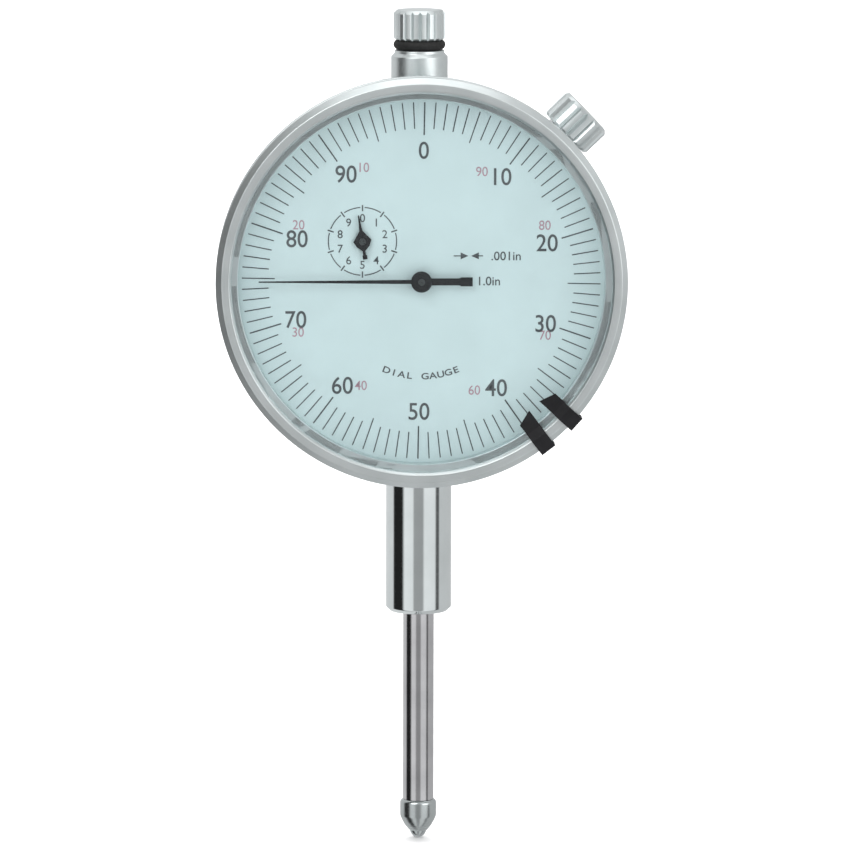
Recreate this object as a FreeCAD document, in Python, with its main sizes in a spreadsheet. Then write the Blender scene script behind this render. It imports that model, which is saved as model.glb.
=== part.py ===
import FreeCAD, Part
import Sketcher
import os
from math import atan, cos, degrees, pi, radians, sin, sqrt, tan

from FreeCAD import Placement, Rotation, Vector

# A 0 to 1.000 inch dial indicator.  +Z runs up the spindle, the dial faces -Y and +X is on the
# reader's right.  The origin is on the spindle's axis at the lower end of the stem's full diameter.

doc = FreeCAD.newDocument("dial_indicator")
sheet = doc.addObject("Spreadsheet::Sheet", "dims")

DRIVING = {
    # overall
    "dial_height": 49.1, "bezel_dia": 58.7, "stem_dia": 9.525, "spindle_dia": 4.5,
    # stations along Y, from the bezel's front to the back cover
    "bezel_front": -17.0, "crystal_front": -15.9, "crystal_thick": 1.2, "dial_front": -12.6,
    "dial_thick": 0.4, "neck_front": -11.0, "front_plate_back": -9.8, "front_plate_thick": 0.8,
    "bezel_rear": -6.3, "web_back": -4.2, "web_thick": 1.4, "mid_plate_thick": 1.2,
    "case_rear": 6.1, "gasket_thick": 0.3, "cover_thick": 1.5,
    # radii about the dial's axis
    "lip_inner": 27.1, "lip_outer": 28.5, "crystal_rad": 27.4, "shelf_rad": 26.15,
    "bezel_bore": 26.5, "shoe_groove_rad": 27.3, "skirt_rad": 28.0, "neck_rad": 26.45,
    "case_rad": 27.0, "case_inner": 25.0, "web_inner": 17.5, "centre_dial_rad": 16.6,
    "dial_gap": 0.1, "front_plate_rad": 15.5, "mid_plate_rad": 20.8, "cover_rad": 26.6,
    # heights along the spindle
    "stem_low": -0.6, "stem_high": 24.7, "tube_low": 72.6, "tube_high": 81.1,
    "cap_low": 82.6, "cap_high": 86.9, "spindle_low": -28.5, "tip_low": -34.3,
    "guide_pin_height": 42.8, "rack_low": 28.5, "rack_high": 60.1,
    # stem, tube, cap and contact point
    "stem_bore": 6.4, "stem_shank_dia": 9.0, "tube_dia": 8.2, "tube_bore": 6.0, "cap_dia": 7.5, "run_gap": 0.03,
    "bush_height": 8.0, "stud_dia": 2.8, "point_dia": 5.3, "point_stud_dia": 2.6, "ball_dia": 2.4,
    # gearing
    "rack_pitch": 0.635, "rack_pitch_line": 1.6, "train_module": 0.215, "arbor_dia": 1.0,
    "small_teeth": 16, "big_teeth": 64, "counter_teeth": 40, "tooth_play": 0.02,
    # mounting lug
    "lug_thick": 4.76, "lug_hole_dia": 6.35, "lug_hole_back": 16.3, "lug_round": 5.2,
    # bezel clamp
    "knob_dia": 8.5, "knob_low": 29.0, "knob_high": 33.5, "clamp_back": -1.5,
    # tolerance markers
    "marker_width": 2.35, "marker_tip": 23.75, "marker_outer": 29.9, "marker_sheet": 0.35,
}


class Size:
    """A size known both as a number and as an expression of the sheet's cells."""

    def __init__(self, value, text=None):
        self.value = float(value)
        self.text = text if text is not None else f"({self.value!r})"

    def __add__(self, other):
        other = sized(other)
        return Size(self.value + other.value, f"({self.text} + {other.text})")

    def __sub__(self, other):
        other = sized(other)
        return Size(self.value - other.value, f"({self.text} - {other.text})")

    def __mul__(self, other):
        other = sized(other)
        return Size(self.value * other.value, f"({self.text} * {other.text})")

    def __truediv__(self, other):
        other = sized(other)
        return Size(self.value / other.value, f"({self.text} / {other.text})")

    def __neg__(self):
        return Size(-self.value, f"(0 - {self.text})")

    def __radd__(self, other):
        return sized(other) + self

    def __rsub__(self, other):
        return sized(other) - self

    def __rmul__(self, other):
        return sized(other) * self


def sized(number):
    return number if isinstance(number, Size) else Size(number)


class Dims:
    """One named cell of the sheet for each driving dimension."""

    def __init__(self, values):
        for row, (name, value) in enumerate(values.items(), start=1):
            sheet.set(f"A{row}", name)
            sheet.set(f"B{row}", str(value))
            sheet.setAlias(f"B{row}", name)
            setattr(self, name, Size(value, f"dims.{name}"))


dims = Dims(DRIVING)
doc.recompute()
subparts = []


# ---- helpers: bodies, sketches and features -------------------------------------------------

def bind(thing, path, amount):
    thing.setExpression(path, sized(amount).text)


def keep(thing, label):
    thing.Label = label
    subparts.append(thing)
    return thing


def new_body(label, export=True):
    body = doc.addObject("PartDesign::Body", label)
    body.Label = label
    return keep(body, label) if export else body


def place(thing, x=0.0, y=0.0, z=0.0, about_y=0.0):
    """Puts a sub-part at x, y, z, turned about Y: clockwise on the dial is positive."""
    spots = [sized(x), sized(y), sized(z)]
    where = Vector(*[spot.value for spot in spots])
    thing.Placement = Placement(where, Rotation(Vector(0, 1, 0), about_y))
    for axis, spot in zip("xyz", spots):
        bind(thing, f"Placement.Base.{axis}", spot)
    return thing


def sketch_on(body, plane, offset=0.0):
    """A sketch on the body's XY, XZ or YZ plane, moved along that plane's normal."""
    sketch = body.newObject("Sketcher::SketchObject", f"{body.Name}_sketch")
    support = next(item for item in body.Origin.OriginFeatures if item.Role == f"{plane}_Plane")
    sketch.AttachmentSupport = [(support, "")]
    sketch.MapMode = "FlatFace"
    bind(sketch, "AttachmentOffset.Base.z", offset)
    return sketch


def tilted_sketch(body, angle, distance):
    """A sketch across a radius of the dial: angle is clockwise from the top, as on the dial."""
    sketch = sketch_on(body, "XY")
    turn = Rotation(Vector(0, 1, 0), angle)
    sketch.AttachmentOffset = Placement(turn.multVec(Vector(0, 0, distance.value)), turn)
    bind(sketch, "AttachmentOffset.Base.x", distance * sin(radians(angle)))
    bind(sketch, "AttachmentOffset.Base.z", distance * cos(radians(angle)))
    return sketch


def pin_point(sketch, edge, end, x, y):
    """Fixes one point of the sketch to x, y, each bound to the sheet."""
    for kind, amount, axis in (("DistanceX", sized(x), -2), ("DistanceY", sized(y), -1)):
        if abs(amount.value) < 1e-9:
            sketch.addConstraint(Sketcher.Constraint("PointOnObject", edge, end, axis))
            continue
        row = sketch.addConstraint(Sketcher.Constraint(kind, -1, 1, edge, end, amount.value))
        if "dims" in amount.text:
            sketch.setExpression(f"Constraints[{row}]", amount.text)


def polygon(sketch, points):
    """A closed outline through the points."""
    first = sketch.GeometryCount
    count = len(points)
    corners = [Vector(sized(x).value, sized(y).value, 0) for x, y in points]
    for index in range(count):
        sketch.addGeometry(Part.LineSegment(corners[index], corners[(index + 1) % count]), False)
    for index in range(count):
        following = first + (index + 1) % count
        sketch.addConstraint(Sketcher.Constraint("Coincident", first + index, 2, following, 1))
    for index, (x, y) in enumerate(points):
        pin_point(sketch, first + index, 1, x, y)


def circle(sketch, x, y, radius):
    radius = sized(radius)
    centre = Vector(sized(x).value, sized(y).value, 0)
    edge = sketch.addGeometry(Part.Circle(centre, Vector(0, 0, 1), radius.value), False)
    pin_point(sketch, edge, 3, x, y)
    row = sketch.addConstraint(Sketcher.Constraint("Radius", edge, radius.value))
    sketch.setExpression(f"Constraints[{row}]", radius.text)


def pad(body, sketch, length, flipped=False, both_ways=False):
    feature = body.newObject("PartDesign::Pad", f"{body.Name}_pad")
    feature.Profile = sketch
    bind(feature, "Length", length)
    feature.Reversed = flipped
    feature.Midplane = both_ways
    return feature


def pocket(body, sketch, length, flipped=False, both_ways=False):
    """Cuts against the sketch's normal, or along it when flipped."""
    feature = body.newObject("PartDesign::Pocket", f"{body.Name}_pocket")
    feature.Profile = sketch
    bind(feature, "Length", length)
    feature.Reversed = flipped
    feature.Midplane = both_ways
    return feature


def turn(body, outline, along="Z"):
    """Revolves an outline: (radius, z) points about Z, or (y, radius) points about Y."""
    sketch = sketch_on(body, "XZ" if along == "Z" else "YZ")
    polygon(sketch, outline)
    feature = body.newObject("PartDesign::Revolution", f"{body.Name}_turned")
    feature.Profile = sketch
    feature.ReferenceAxis = (sketch, ["V_Axis" if along == "Z" else "H_Axis"])
    feature.Angle = 360
    return feature


def turned(label, outline, along="Z", export=True):
    body = new_body(label, export)
    turn(body, outline, along)
    return body


def rod(label, y_front, y_back, radius):
    """A plain round pin along Y."""
    return turned(label, [(y_front, 0), (y_front, radius), (y_back, radius), (y_back, 0)], "Y")


def ring(label, y_front, y_back, inner, outer):
    """A plain flat ring about Y."""
    outline = [(y_front, inner), (y_front, outer), (y_back, outer), (y_back, inner)]
    return turned(label, outline, "Y")


def repeat_round(body, feature, count, axis_name):
    """Repeats a cut evenly about one of the body's own axes."""
    pattern = body.newObject("PartDesign::PolarPattern", f"{body.Name}_pattern")
    pattern.Originals = [feature]
    axis = next(item for item in body.Origin.OriginFeatures if item.Role == f"{axis_name}_Axis")
    pattern.Axis = (axis, [""])
    pattern.Angle = 360
    pattern.Occurrences = count
    body.Tip = pattern
    return pattern


def scatter(label, master, spots):
    """One node of identical separate solids, copies of the master moved to each x, z spot."""
    doc.recompute()
    copies = []
    for x, z in spots:
        solid = master.Shape.copy()
        solid.translate(Vector(sized(x).value, 0, sized(z).value))
        copies.append(solid)
    group = doc.addObject("Part::Feature", label)
    group.Shape = Part.makeCompound(copies)
    group.Placement = Placement()
    return keep(group, label)


def round_spots(radius, angles):
    """x, z spots on a circle about the dial's axis, angles clockwise from the top."""
    return [(radius * sin(radians(a)), dims.dial_height.value + radius * cos(radians(a)))
            for a in angles]


# ---- the gear train's centres, from the dial's axis ------------------------------------------

RACK_MODULE = dims.rack_pitch.value / pi
PINION_RADIUS = RACK_MODULE * dims.small_teeth.value / 2
TRAIN_DISTANCE = dims.train_module.value * (dims.small_teeth.value + dims.big_teeth.value) / 2
COUNTER_DISTANCE = RACK_MODULE * (dims.small_teeth.value + dims.counter_teeth.value) / 2
PINION_X = -(dims.rack_pitch_line.value + PINION_RADIUS)
PINION_Z = sqrt(TRAIN_DISTANCE ** 2 - PINION_X ** 2)
COUNTER_X = -8.4
COUNTER_Z = PINION_Z - sqrt(COUNTER_DISTANCE ** 2 - (COUNTER_X - PINION_X) ** 2)
TAKE_UP_ANGLE = 125.0
TAKE_UP_X = TRAIN_DISTANCE * sin(radians(TAKE_UP_ANGLE))
TAKE_UP_Z = TRAIN_DISTANCE * cos(radians(TAKE_UP_ANGLE))
CENTRES = {
    "centre": (0.0, 0.0),
    "pinion": (PINION_X, PINION_Z),
    "counter": (COUNTER_X, COUNTER_Z),
    "take_up": (TAKE_UP_X, TAKE_UP_Z),
}
TRAIN_SEATS = ["centre", "pinion", "take_up"]
PIVOT_GAP = 0.03
PIVOT_RADIUS = 0.5
BUSH_RADIUS = 1.1


# ---- case, stem and top tube ------------------------------------------------------------------

STEM_BOSS_RADIUS = 6.0
TUBE_BOSS_RADIUS = 5.6
BOSS_OUTER = 27.6
BOSS_INNER = 24.4
CLAMP_ANGLE = 46.0
CLAMP_BOSS_RADIUS = 3.4
CLAMP_BOSS_TOP = 28.2
CLAMP_SHANK_RADIUS = 1.2
COVER_SCREW_CIRCLE = 22.8
COVER_SCREW_ANGLES = [40, 140, 220, 320]
COVER_BOSS_RADIUS = 2.6
COVER_BOSS_LENGTH = 5.6
PLATE_SCREW_CIRCLE = 19.3
PLATE_SCREW_ANGLES = [65, 148, 212, 295]
SCREW_RADIUS = 0.85
FINE_SCREW_RADIUS = 0.6
WIRE_FRONT = -9.0
WIRE_BACK = -8.2
WIRE_GROOVE = 26.0


def make_case():
    body = new_body("case")
    web_front = dims.web_back - dims.web_thick
    step = dims.bezel_rear + 0.1
    turn(body, [
        (dims.neck_front, dims.case_inner), (dims.neck_front, dims.neck_rad),
        (WIRE_FRONT, dims.neck_rad), (WIRE_FRONT, WIRE_GROOVE),
        (WIRE_BACK, WIRE_GROOVE), (WIRE_BACK, dims.neck_rad),
        (step, dims.neck_rad), (step, dims.case_rad),
        (dims.case_rear, dims.case_rad), (dims.case_rear, dims.case_inner),
        (dims.web_back, dims.case_inner), (dims.web_back, dims.web_inner),
        (web_front, dims.web_inner), (web_front, dims.case_inner),
    ], "Y")
    for radius, low in ((STEM_BOSS_RADIUS, -BOSS_OUTER), (TUBE_BOSS_RADIUS, BOSS_INNER)):
        boss = sketch_on(body, "XY", low)
        circle(boss, 0, 0, radius)
        pad(body, boss, BOSS_OUTER - BOSS_INNER)
    clamp = tilted_sketch(body, CLAMP_ANGLE, Size(BOSS_INNER))
    circle(clamp, 0, dims.clamp_back, CLAMP_BOSS_RADIUS)
    pad(body, clamp, CLAMP_BOSS_TOP - BOSS_INNER)
    lugs = sketch_on(body, "XZ", -dims.case_rear)
    for angle in COVER_SCREW_ANGLES:
        circle(lugs, COVER_SCREW_CIRCLE * sin(radians(angle)),
               COVER_SCREW_CIRCLE * cos(radians(angle)), COVER_BOSS_RADIUS)
    pad(body, lugs, COVER_BOSS_LENGTH)
    doc.recompute()
    solid_volume = body.Shape.Volume
    for radius, low in ((dims.stem_shank_dia / 2, -BOSS_OUTER), (dims.tube_dia / 2, BOSS_INNER)):
        bore = sketch_on(body, "XY", low)
        circle(bore, 0, 0, radius)
        pocket(body, bore, BOSS_OUTER - BOSS_INNER, flipped=True)
    tapped = tilted_sketch(body, CLAMP_ANGLE, Size(BOSS_INNER - 1))
    circle(tapped, 0, dims.clamp_back, CLAMP_SHANK_RADIUS + 0.05)
    pocket(body, tapped, 6, flipped=True)
    cover_taps = sketch_on(body, "XZ", -dims.case_rear)
    for angle in COVER_SCREW_ANGLES:
        circle(cover_taps, COVER_SCREW_CIRCLE * sin(radians(angle)),
               COVER_SCREW_CIRCLE * cos(radians(angle)), SCREW_RADIUS)
    pocket(body, cover_taps, 4.6, flipped=True)
    plate_taps = sketch_on(body, "XZ", -dims.web_back)
    for angle in PLATE_SCREW_ANGLES:
        circle(plate_taps, PLATE_SCREW_CIRCLE * sin(radians(angle)),
               PLATE_SCREW_CIRCLE * cos(radians(angle)), SCREW_RADIUS)
    pocket(body, plate_taps, dims.web_thick, flipped=True)
    doc.recompute()
    if body.Shape.Volume > solid_volume - 150:
        raise RuntimeError("a bore or a tapped hole of the case cut nothing")
    place(body, z=dims.dial_height)


def make_stem():
    """The full diameter ends at a shoulder on the case's boss; a thinner shank goes into it."""
    outer = dims.stem_dia / 2
    shank = dims.stem_shank_dia / 2
    bore = dims.stem_bore / 2
    shoulder = dims.dial_height - BOSS_OUTER
    turned("stem", [
        (bore, dims.stem_low), (outer - 0.6, dims.stem_low), (outer, 0), (outer, shoulder),
        (shank, shoulder), (shank, dims.stem_high), (bore, dims.stem_high)])
    run = dims.spindle_dia / 2 + dims.run_gap
    low = dims.stem_low + 0.3
    turned("lower_bush", [
        (run + 0.15, low), (bore, low), (bore, low + dims.bush_height),
        (run, low + dims.bush_height), (run, low + 0.15)])


def make_top_tube():
    outer = dims.tube_dia / 2
    bore = dims.tube_bore / 2
    turned("top_tube", [
        (bore, dims.tube_low), (outer, dims.tube_low), (outer, dims.tube_high - 0.9),
        (outer - 0.5, dims.tube_high - 0.4), (outer - 0.5, dims.tube_high), (bore, dims.tube_high)])
    run = dims.spindle_dia / 2 + dims.run_gap
    top = dims.tube_high - 0.4
    turned("upper_bush", [
        (run, top - dims.bush_height), (bore, top - dims.bush_height), (bore, top),
        (run + 0.15, top), (run, top - 0.15)])


# ---- spindle, contact point and lifting cap ---------------------------------------------------

RACK_TIP = 1.8
RACK_ROOT = 1.35
GUIDE_PIN_RADIUS = 0.8
GUIDE_PIN_END = 9.4


def make_spindle():
    body = new_body("spindle")
    outer = dims.spindle_dia / 2
    hole = dims.point_stud_dia / 2
    turn(body, [
        (hole, dims.spindle_low), (outer, dims.spindle_low), (outer, dims.cap_low),
        (dims.stud_dia / 2, dims.cap_low), (dims.stud_dia / 2, dims.cap_high - 1.2),
        (0, dims.cap_high - 1.2), (0, dims.spindle_low + 6), (hole, dims.spindle_low + 6)])
    flat = sketch_on(body, "XZ")
    polygon(flat, [(-outer - 1, dims.rack_low), (-RACK_TIP, dims.rack_low),
                   (-RACK_TIP, dims.rack_high), (-outer - 1, dims.rack_high)])
    pocket(body, flat, 8, both_ways=True)
    pinion_height = dims.dial_height + PINION_Z
    below = int((pinion_height.value - dims.rack_low.value) / dims.rack_pitch.value)
    above = int((dims.rack_high.value - pinion_height.value) / dims.rack_pitch.value)
    gap = sketch_on(body, "XZ")
    middle = pinion_height - dims.rack_pitch * below
    half = dims.rack_pitch / 4 + dims.tooth_play / 2
    slope = tan(radians(20))
    wide = half + (RACK_TIP + 0.05 - dims.rack_pitch_line) * slope
    narrow = half - (dims.rack_pitch_line - RACK_ROOT) * slope
    polygon(gap, [(-RACK_TIP - 0.05, middle - wide), (-RACK_ROOT, middle - narrow),
                  (-RACK_ROOT, middle + narrow), (-RACK_TIP - 0.05, middle + wide)])
    cut = pocket(body, gap, 8, both_ways=True)
    row = body.newObject("PartDesign::LinearPattern", "rack_gaps")
    row.Originals = [cut]
    row.Direction = (gap, ["V_Axis"])
    bind(row, "Length", dims.rack_pitch * (below + above))
    row.Occurrences = below + above + 1
    body.Tip = row
    side = sketch_on(body, "YZ", 0.4)
    circle(side, 0, dims.guide_pin_height, GUIDE_PIN_RADIUS)
    pocket(body, side, 4, flipped=True)


def make_contact_point():
    stud = dims.point_stud_dia / 2
    barrel = dims.point_dia / 2
    neck = dims.ball_dia / 2
    ball_centre = dims.tip_low + neck
    body = turned("contact_point", [
        (0, dims.spindle_low + 5.6), (stud, dims.spindle_low + 5.6), (stud, dims.spindle_low),
        (barrel - 0.35, dims.spindle_low), (barrel, dims.spindle_low - 0.4),
        (barrel, ball_centre + 2.1), (barrel - 0.3, ball_centre + 1.4),
        (barrel - 0.72, ball_centre + 0.65), (neck + 0.1, ball_centre - 0.1),
        (neck, ball_centre - 0.1), (0, ball_centre - 0.1)])
    doc.recompute()
    seat = body.newObject("PartDesign::SubtractiveSphere", "ball_seat")
    seat.MapMode = "Deactivated"
    bind(seat, "Radius", neck)
    bind(seat, "Placement.Base.z", ball_centre)
    body.Tip = seat
    ball = doc.addObject("Part::Sphere", "contact_ball")
    bind(ball, "Radius", neck)
    place(keep(ball, "contact_ball"), z=ball_centre)


def make_cap():
    body = new_body("lifting_cap")
    outer = dims.cap_dia / 2
    hole = dims.stud_dia / 2
    turn(body, [
        (hole, dims.cap_low), (outer - 0.3, dims.cap_low), (outer, dims.cap_low + 0.3),
        (outer, dims.cap_high - 0.5), (outer - 0.5, dims.cap_high), (0, dims.cap_high),
        (0, dims.cap_high - 1.2), (hole, dims.cap_high - 1.2)])
    flute(body, outer, dims.cap_low - 1, dims.cap_high - dims.cap_low + 2, 20, 0.34)
    section = 0.72
    buffer = doc.addObject("Part::Torus", "buffer_ring")
    bind(buffer, "Radius1", outer - section)
    buffer.Radius2 = section
    place(keep(buffer, "buffer_ring"), z=dims.cap_low - section)


def flute(body, outer, low, length, count, depth):
    """Cuts evenly spaced V grooves down the side of a round body that stands on Z."""
    groove = sketch_on(body, "XY", low)
    half = depth * 1.1
    polygon(groove, [(-half, outer + 0.1), (0, outer - depth), (half, outer + 0.1)])
    cut = pocket(body, groove, length, flipped=True)
    repeat_round(body, cut, count, "Z")


def make_guide_pin():
    body = new_body("guide_pin")
    outline = sketch_on(body, "YZ", 0.4)
    circle(outline, 0, 0, GUIDE_PIN_RADIUS)
    pad(body, outline, GUIDE_PIN_END - 0.4)
    place(body, z=dims.guide_pin_height)


# ---- movement plates --------------------------------------------------------------------------

BRIDGE_FRONT = 2.6
BRIDGE_BACK = 3.4
LONG_BUSH = 1.2
PILLAR_SPOTS = [(11.4, 6.6), (-13.0, -2.6), (-1.15, -13.15)]
PILLAR_RADIUS = 1.5
BRIDGE_POSTS = [(-7.5, 12.6), (-12.2, -0.2)]
BRIDGE_POST_RADIUS = 1.3
DIAL_POSTS = [(11.2, -8.0), (-11.2, -8.0), (1.5, 13.6)]
SPRING_POST_SPOT = (6.0, -18.2)
STUD_SPOT_ANGLE = 60.0
HAIRSPRING_OUTER = 4.6
TENON_RADIUS = 0.9


def seat_spots(names):
    return [CENTRES[name] for name in names]


def plate(label, y_back, thick, radius, holes):
    """A round plate about the dial's axis with (x, z, radius) holes."""
    body = new_body(label)
    outline = sketch_on(body, "XZ", -y_back)
    circle(outline, 0, 0, radius)
    for x, z, hole in holes:
        circle(outline, x, z, hole)
    pad(body, outline, thick)
    place(body, z=dims.dial_height)
    return body


def make_plates():
    bushed = [(x, z, BUSH_RADIUS) for x, z in seat_spots(TRAIN_SEATS)]
    fronted = bushed + [(*CENTRES["counter"], BUSH_RADIUS)]
    tenons = [(x, z, TENON_RADIUS) for x, z in PILLAR_SPOTS + BRIDGE_POSTS + [SPRING_POST_SPOT]]
    screws = [(PLATE_SCREW_CIRCLE * sin(radians(a)), PLATE_SCREW_CIRCLE * cos(radians(a)),
               SCREW_RADIUS) for a in PLATE_SCREW_ANGLES]
    mid_back = dims.web_back + dims.mid_plate_thick
    plate("mid_plate", mid_back, dims.mid_plate_thick, dims.mid_plate_rad,
          bushed + tenons + screws)
    dial_feet = [(x, z, TENON_RADIUS) for x, z in DIAL_POSTS]
    pillars = [(x, z, FINE_SCREW_RADIUS) for x, z in PILLAR_SPOTS]
    plate("front_plate", dims.front_plate_back, dims.front_plate_thick, dims.front_plate_rad,
          fronted + dial_feet + pillars)


def make_bridge():
    body = new_body("rear_bridge")
    outline = sketch_on(body, "XZ", -BRIDGE_BACK)
    polygon(outline, [(-14.0, -1.6), (-10.2, -1.8), (-1.6, 5.6), (-1.4, 9.9), (-5.8, 14.4),
                      (-9.0, 14.4), (-14.0, 6.0)])
    circle(outline, *CENTRES["pinion"], BUSH_RADIUS)
    for x, z in BRIDGE_POSTS:
        circle(outline, x, z, FINE_SCREW_RADIUS)
    pad(body, outline, BRIDGE_BACK - BRIDGE_FRONT)
    place(body, z=dims.dial_height)


def lifted(spots):
    """Spots given from the dial's axis, raised to the part's frame."""
    return [(x, dims.dial_height.value + z) for x, z in spots]


def make_pillars():
    front_plate_back = dims.front_plate_back
    mid_back = dims.web_back + dims.mid_plate_thick
    depth = 2.6
    pillar = turned("pillar_master", [
        (front_plate_back + depth, 0), (front_plate_back + depth, FINE_SCREW_RADIUS),
        (front_plate_back, FINE_SCREW_RADIUS), (front_plate_back, PILLAR_RADIUS),
        (dims.web_back, PILLAR_RADIUS), (dims.web_back, TENON_RADIUS),
        (mid_back, TENON_RADIUS), (mid_back, 0)], "Y", export=False)
    scatter("plate_pillars", pillar, lifted(PILLAR_SPOTS))
    post = turned("bridge_post_master", [
        (dims.web_back, 0), (dims.web_back, TENON_RADIUS), (mid_back, TENON_RADIUS),
        (mid_back, BRIDGE_POST_RADIUS), (BRIDGE_FRONT, BRIDGE_POST_RADIUS),
        (BRIDGE_FRONT, FINE_SCREW_RADIUS), (BRIDGE_FRONT - depth, FINE_SCREW_RADIUS),
        (BRIDGE_FRONT - depth, 0)], "Y", export=False)
    scatter("bridge_posts", post, lifted(BRIDGE_POSTS))
    plate_front = front_plate_back - dims.front_plate_thick
    dial_back = dims.dial_front + dims.dial_thick
    foot = turned("dial_post_master", [
        (dial_back, 0), (dial_back, 1.3), (plate_front, 1.3), (plate_front, TENON_RADIUS),
        (front_plate_back, TENON_RADIUS), (front_plate_back, 0)], "Y", export=False)
    scatter("dial_posts", foot, lifted(DIAL_POSTS))
    anchor = turned("spring_post", [
        (dims.web_back, 0), (dims.web_back, TENON_RADIUS), (mid_back, TENON_RADIUS),
        (mid_back, 0.7), (-0.3, 0.7), (-0.3, 0.5), (0.3, 0.5), (0.3, 0.7), (1.0, 0.7), (1.0, 0)],
        "Y")
    place(anchor, x=SPRING_POST_SPOT[0], z=dims.dial_height + SPRING_POST_SPOT[1])


SLOT_HALF = 0.18
SMALL_HEAD = 1.3
PLATE_HEAD = 1.6
COVER_HEAD = 1.75
RECESS_DEPTH = 0.85
LUG_HEAD = 1.5


def slotted_screw(label, head_y, under_y, tip_y, head_radius, shank_radius):
    """A cheese-head screw along Y with a slot across its head."""
    body = turned(label, [
        (head_y, 0), (head_y, head_radius), (under_y, head_radius), (under_y, shank_radius),
        (tip_y, shank_radius), (tip_y, 0)], "Y", export=False)
    doc.recompute()
    whole = body.Shape.Volume
    head_height = under_y - head_y if under_y.value > head_y.value else head_y - under_y
    slot = sketch_on(body, "XZ", -head_y)
    polygon(slot, [(-head_radius, -SLOT_HALF), (head_radius, -SLOT_HALF),
                   (head_radius, SLOT_HALF), (-head_radius, SLOT_HALF)])
    pocket(body, slot, head_height, both_ways=True)
    doc.recompute()
    if not 0.5 * whole < body.Shape.Volume < whole:
        raise RuntimeError(f"the slot of {label} is wrong")
    return body


def make_screws():
    plate_front = dims.front_plate_back - dims.front_plate_thick
    mid_back = dims.web_back + dims.mid_plate_thick
    cover_back = dims.case_rear + dims.gasket_thick + dims.cover_thick
    front = slotted_screw("front_screw_master", plate_front - 0.6, plate_front,
                          plate_front + 2.9, SMALL_HEAD, FINE_SCREW_RADIUS)
    scatter("front_plate_screws", front, lifted(PILLAR_SPOTS))
    rear = slotted_screw("bridge_screw_master", Size(BRIDGE_BACK + 0.7), Size(BRIDGE_BACK),
                         Size(BRIDGE_FRONT - 2.2), SMALL_HEAD, FINE_SCREW_RADIUS)
    scatter("bridge_screws", rear, lifted(BRIDGE_POSTS))
    mid = slotted_screw("plate_screw_master", mid_back + 0.8, mid_back,
                        dims.web_back - dims.web_thick, PLATE_HEAD, SCREW_RADIUS)
    scatter("plate_screws", mid, round_spots(PLATE_SCREW_CIRCLE, PLATE_SCREW_ANGLES))
    cover = slotted_screw("cover_screw_master", cover_back - 0.05,
                          cover_back - RECESS_DEPTH, dims.case_rear - 4.2, COVER_HEAD,
                          SCREW_RADIUS)
    scatter("cover_screws", cover, round_spots(COVER_SCREW_CIRCLE, COVER_SCREW_ANGLES))
    lug = slotted_screw("lug_screw_master", cover_back + 2.0, cover_back + 1.2,
                        cover_back - 1.1, LUG_HEAD, SCREW_RADIUS)
    scatter("lug_screws", lug, lifted(LUG_SCREW_SPOTS))


def make_bushes():
    """Brass bushes in the plates; the counter arbor runs in one long bush of the front plate."""
    plate_front = dims.front_plate_back - dims.front_plate_thick
    mid_back = dims.web_back + dims.mid_plate_thick
    layers = [
        (plate_front, dims.front_plate_back, TRAIN_SEATS),
        (plate_front - LONG_BUSH, dims.front_plate_back, ["counter"]),
        (dims.web_back, mid_back, TRAIN_SEATS),
        (Size(BRIDGE_FRONT), Size(BRIDGE_BACK), ["pinion"]),
    ]
    solids = []
    for front, back, names in layers:
        for name in names:
            x, z = CENTRES[name]
            foot = Vector(x, front.value, dims.dial_height.value + z)
            length = back.value - front.value
            outer = Part.makeCylinder(BUSH_RADIUS, length, foot, Vector(0, 1, 0))
            bore = Part.makeCylinder(PIVOT_RADIUS + PIVOT_GAP, length, foot, Vector(0, 1, 0))
            solids.append(outer.cut(bore))
    group = doc.addObject("Part::Feature", "arbor_bushes")
    group.Shape = Part.makeCompound(solids)
    group.Placement = Placement()
    keep(group, "arbor_bushes")


def make_guide_rail():
    """A channel beside the spindle: the guide pin slides in it and stops the spindle turning."""
    mid_back = dims.web_back + dims.mid_plate_thick
    body = new_body("guide_rail")
    outline = sketch_on(body, "XY", -8.6)
    slot = GUIDE_PIN_RADIUS + 0.05
    inner = 8.4
    outer = 10.4
    polygon(outline, [(inner, mid_back), (outer, mid_back), (outer, 2.0), (inner, 2.0),
                      (inner, slot), (outer - 0.7, slot), (outer - 0.7, -slot), (inner, -slot)])
    pad(body, outline, 30.2)
    place(body, z=dims.dial_height)


# ---- gears, arbors and springs ----------------------------------------------------------------

PRESSURE_ANGLE = radians(20)
TOOTH_TOP = 0.9
TOOTH_ROOT = 1.22


def involute(angle):
    return tan(angle) - angle


def gear_face(teeth, module, play, first_tooth, bore):
    """The flat outline of an involute gear at y = 0, its first tooth turned to first_tooth."""
    pitch_radius = module * teeth / 2
    base = pitch_radius * cos(PRESSURE_ANGLE)
    tip = pitch_radius + TOOTH_TOP * module
    root = pitch_radius - TOOTH_ROOT * module
    half_at_pitch = (pi * module / 2 - play) / 2 / pitch_radius
    steps = 5
    start = max(base, root)
    flank = [root] + [start + (tip - start) * k / steps for k in range(steps + 1)]
    side = []
    for radius in flank:
        lean = 0.0 if radius <= base else sqrt((radius / base) ** 2 - 1)
        roll = lean - atan(lean)
        side.append((radius, half_at_pitch + involute(PRESSURE_ANGLE) - roll))
    points = []
    for tooth in range(teeth):
        middle = radians(first_tooth) + 2 * pi * tooth / teeth
        for radius, half in side:
            points.append((radius, middle - half))
        for radius, half in reversed(side):
            points.append((radius, middle + half))
    corners = [Vector(r * cos(a), 0, r * sin(a)) for r, a in points]
    outline = Part.Face(Part.makePolygon(corners + corners[:1]))
    hole = Part.Face(Part.Wire(Part.makeCircle(bore, Vector(0, 0, 0), Vector(0, 1, 0))))
    return outline.cut(hole)


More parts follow.
